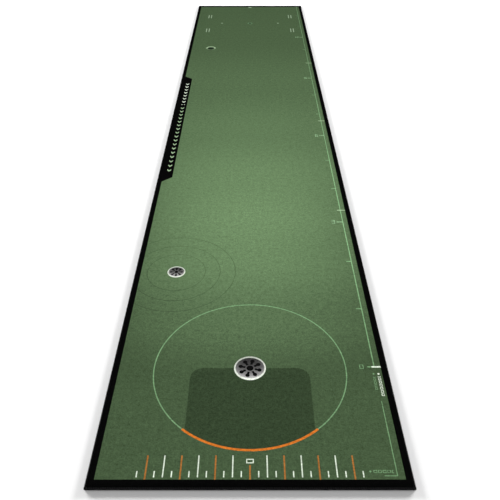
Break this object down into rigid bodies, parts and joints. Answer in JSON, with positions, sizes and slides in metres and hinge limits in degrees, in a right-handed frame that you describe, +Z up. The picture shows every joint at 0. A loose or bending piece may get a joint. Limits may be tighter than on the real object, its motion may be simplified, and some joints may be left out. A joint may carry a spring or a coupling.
{
  "type": "practice putting mat",
  "caption": "Long velour putting mat on a thin rubber base, with printed aiming marks and false cups, that rolls up from its far end.",
  "frame": {"origin": "centre of the underside, on the floor that the mat lies on", "axes": "+Y along the length, from the player's end to the far end; +X to the player's right; +Z up"},
  "size_m": [0.95, 5, 0.0045],
  "materials": {
    "pile": "short-cut velour, dyed green and printed, matte with a soft sheen",
    "rubber": "foamed rubber with a fine embossed non-slip texture, matte"
  },
  "bodies": {
    "strip_01": {"rubber_base_01": "rubber", "velour_pile_01": "pile"},
    "strip_02": {"rubber_base_02": "rubber", "velour_pile_02": "pile"},
    "strip_03": {"rubber_base_03": "rubber", "velour_pile_03": "pile"},
    "strip_04": {"rubber_base_04": "rubber", "velour_pile_04": "pile"},
    "strip_05": {"rubber_base_05": "rubber", "velour_pile_05": "pile"},
    "strip_06": {"rubber_base_06": "rubber", "velour_pile_06": "pile"},
    "strip_07": {"rubber_base_07": "rubber", "velour_pile_07": "pile"},
    "strip_08": {"rubber_base_08": "rubber", "velour_pile_08": "pile"},
    "strip_09": {"rubber_base_09": "rubber", "velour_pile_09": "pile"},
    "strip_10": {"rubber_base_10": "rubber", "velour_pile_10": "pile"},
    "strip_11": {"rubber_base_11": "rubber", "velour_pile_11": "pile"},
    "strip_12": {"rubber_base_12": "rubber", "velour_pile_12": "pile"},
    "strip_13": {"rubber_base_13": "rubber", "velour_pile_13": "pile"},
    "strip_14": {"rubber_base_14": "rubber", "velour_pile_14": "pile"},
    "strip_15": {"rubber_base_15": "rubber", "velour_pile_15": "pile"},
    "strip_16": {"rubber_base_16": "rubber", "velour_pile_16": "pile"},
    "strip_17": {"rubber_base_17": "rubber", "velour_pile_17": "pile"},
    "strip_18": {"rubber_base_18": "rubber", "velour_pile_18": "pile"},
    "strip_19": {"rubber_base_19": "rubber", "velour_pile_19": "pile"},
    "strip_20": {"rubber_base_20": "rubber", "velour_pile_20": "pile"},
    "strip_21": {"rubber_base_21": "rubber", "velour_pile_21": "pile"},
    "strip_22": {"rubber_base_22": "rubber", "velour_pile_22": "pile"},
    "strip_23": {"rubber_base_23": "rubber", "velour_pile_23": "pile"},
    "strip_24": {"rubber_base_24": "rubber", "velour_pile_24": "pile"},
    "strip_25": {"rubber_base_25": "rubber", "velour_pile_25": "pile"},
    "strip_26": {"rubber_base_26": "rubber", "velour_pile_26": "pile"},
    "strip_27": {"rubber_base_27": "rubber", "velour_pile_27": "pile"},
    "strip_28": {"rubber_base_28": "rubber", "velour_pile_28": "pile"},
    "strip_29": {"rubber_base_29": "rubber", "velour_pile_29": "pile"},
    "strip_30": {"rubber_base_30": "rubber", "velour_pile_30": "pile"}
  },
  "joints": [
    {"name": "roll_up", "type": "hinge", "parent": "strip_01", "child": "strip_02", "pos_m": [0, -2.29497, 0.0045], "axis": [1, 0, 0], "range_deg": [0, 45]},
    {"name": "roll_03", "type": "hinge", "parent": "strip_02", "child": "strip_03", "pos_m": [0, -2.09297, 0.0045], "axis": [1, 0, 0], "range_deg": [0, 45]},
    {"name": "roll_04", "type": "hinge", "parent": "strip_03", "child": "strip_04", "pos_m": [0, -1.89395, 0.0045], "axis": [1, 0, 0], "range_deg": [0, 45]},
    {"name": "roll_05", "type": "hinge", "parent": "strip_04", "child": "strip_05", "pos_m": [0, -1.69786, 0.0045], "axis": [1, 0, 0], "range_deg": [0, 45]},
    {"name": "roll_06", "type": "hinge", "parent": "strip_05", "child": "strip_06", "pos_m": [0, -1.50466, 0.0045], "axis": [1, 0, 0], "range_deg": [0, 45]},
    {"name": "roll_07", "type": "hinge", "parent": "strip_06", "child": "strip_07", "pos_m": [0, -1.31431, 0.0045], "axis": [1, 0, 0], "range_deg": [0, 45]},
    {"name": "roll_08", "type": "hinge", "parent": "strip_07", "child": "strip_08", "pos_m": [0, -1.12677, 0.0045], "axis": [1, 0, 0], "range_deg": [0, 45]},
    {"name": "roll_09", "type": "hinge", "parent": "strip_08", "child": "strip_09", "pos_m": [0, -0.94199, 0.0045], "axis": [1, 0, 0], "range_deg": [0, 45]},
    {"name": "roll_10", "type": "hinge", "parent": "strip_09", "child": "strip_10", "pos_m": [0, -0.75994, 0.0045], "axis": [1, 0, 0], "range_deg": [0, 45]},
    {"name": "roll_11", "type": "hinge", "parent": "strip_10", "child": "strip_11", "pos_m": [0, -0.58057, 0.0045], "axis": [1, 0, 0], "range_deg": [0, 45]},
    {"name": "roll_12", "type": "hinge", "parent": "strip_11", "child": "strip_12", "pos_m": [0, -0.40384, 0.0045], "axis": [1, 0, 0], "range_deg": [0, 45]},
    {"name": "roll_13", "type": "hinge", "parent": "strip_12", "child": "strip_13", "pos_m": [0, -0.22973, 0.0045], "axis": [1, 0, 0], "range_deg": [0, 45]},
    {"name": "roll_14", "type": "hinge", "parent": "strip_13", "child": "strip_14", "pos_m": [0, -0.05817, 0.0045], "axis": [1, 0, 0], "range_deg": [0, 45]},
    {"name": "roll_15", "type": "hinge", "parent": "strip_14", "child": "strip_15", "pos_m": [0, 0.11085, 0.0045], "axis": [1, 0, 0], "range_deg": [0, 45]},
    {"name": "roll_16", "type": "hinge", "parent": "strip_15", "child": "strip_16", "pos_m": [0, 0.27738, 0.0045], "axis": [1, 0, 0], "range_deg": [0, 45]},
    {"name": "roll_17", "type": "hinge", "parent": "strip_16", "child": "strip_17", "pos_m": [0, 0.44145, 0.0045], "axis": [1, 0, 0], "range_deg": [0, 45]},
    {"name": "roll_18", "type": "hinge", "parent": "strip_17", "child": "strip_18", "pos_m": [0, 0.60311, 0.0045], "axis": [1, 0, 0], "range_deg": [0, 45]},
    {"name": "roll_19", "type": "hinge", "parent": "strip_18", "child": "strip_19", "pos_m": [0, 0.76238, 0.0045], "axis": [1, 0, 0], "range_deg": [0, 45]},
    {"name": "roll_20", "type": "hinge", "parent": "strip_19", "child": "strip_20", "pos_m": [0, 0.9193, 0.0045], "axis": [1, 0, 0], "range_deg": [0, 45]},
    {"name": "roll_21", "type": "hinge", "parent": "strip_20", "child": "strip_21", "pos_m": [0, 1.07391, 0.0045], "axis": [1, 0, 0], "range_deg": [0, 45]},
    {"name": "roll_22", "type": "hinge", "parent": "strip_21", "child": "strip_22", "pos_m": [0, 1.22624, 0.0045], "axis": [1, 0, 0], "range_deg": [0, 45]},
    {"name": "roll_23", "type": "hinge", "parent": "strip_22", "child": "strip_23", "pos_m": [0, 1.37632, 0.0045], "axis": [1, 0, 0], "range_deg": [0, 45]},
    {"name": "roll_24", "type": "hinge", "parent": "strip_23", "child": "strip_24", "pos_m": [0, 1.52419, 0.0045], "axis": [1, 0, 0], "range_deg": [0, 45]},
    {"name": "roll_25", "type": "hinge", "parent": "strip_24", "child": "strip_25", "pos_m": [0, 1.66988, 0.0045], "axis": [1, 0, 0], "range_deg": [0, 45]},
    {"name": "roll_26", "type": "hinge", "parent": "strip_25", "child": "strip_26", "pos_m": [0, 1.81342, 0.0045], "axis": [1, 0, 0], "range_deg": [0, 45]},
    {"name": "roll_27", "type": "hinge", "parent": "strip_26", "child": "strip_27", "pos_m": [0, 1.95485, 0.0045], "axis": [1, 0, 0], "range_deg": [0, 45]},
    {"name": "roll_28", "type": "hinge", "parent": "strip_27", "child": "strip_28", "pos_m": [0, 2.09419, 0.0045], "axis": [1, 0, 0], "range_deg": [0, 45]},
    {"name": "roll_29", "type": "hinge", "parent": "strip_28", "child": "strip_29", "pos_m": [0, 2.23147, 0.0045], "axis": [1, 0, 0], "range_deg": [0, 45]},
    {"name": "roll_30", "type": "hinge", "parent": "strip_29", "child": "strip_30", "pos_m": [0, 2.36673, 0.0045], "axis": [1, 0, 0], "range_deg": [0, 45]}
  ],
  "couplings": [
    {"joint": "roll_03", "follows": "roll_up", "ratio": 1},
    {"joint": "roll_04", "follows": "roll_up", "ratio": 1},
    {"joint": "roll_05", "follows": "roll_up", "ratio": 1},
    {"joint": "roll_06", "follows": "roll_up", "ratio": 1},
    {"joint": "roll_07", "follows": "roll_up", "ratio": 1},
    {"joint": "roll_08", "follows": "roll_up", "ratio": 1},
    {"joint": "roll_09", "follows": "roll_up", "ratio": 1},
    {"joint": "roll_10", "follows": "roll_up", "ratio": 1},
    {"joint": "roll_11", "follows": "roll_up", "ratio": 1},
    {"joint": "roll_12", "follows": "roll_up", "ratio": 1},
    {"joint": "roll_13", "follows": "roll_up", "ratio": 1},
    {"joint": "roll_14", "follows": "roll_up", "ratio": 1},
    {"joint": "roll_15", "follows": "roll_up", "ratio": 1},
    {"joint": "roll_16", "follows": "roll_up", "ratio": 1},
    {"joint": "roll_17", "follows": "roll_up", "ratio": 1},
    {"joint": "roll_18", "follows": "roll_up", "ratio": 1},
    {"joint": "roll_19", "follows": "roll_up", "ratio": 1},
    {"joint": "roll_20", "follows": "roll_up", "ratio": 1},
    {"joint": "roll_21", "follows": "roll_up", "ratio": 1},
    {"joint": "roll_22", "follows": "roll_up", "ratio": 1},
    {"joint": "roll_23", "follows": "roll_up", "ratio": 1},
    {"joint": "roll_24", "follows": "roll_up", "ratio": 1},
    {"joint": "roll_25", "follows": "roll_up", "ratio": 1},
    {"joint": "roll_26", "follows": "roll_up", "ratio": 1},
    {"joint": "roll_27", "follows": "roll_up", "ratio": 1},
    {"joint": "roll_28", "follows": "roll_up", "ratio": 1},
    {"joint": "roll_29", "follows": "roll_up", "ratio": 1},
    {"joint": "roll_30", "follows": "roll_up", "ratio": 1}
  ]
}
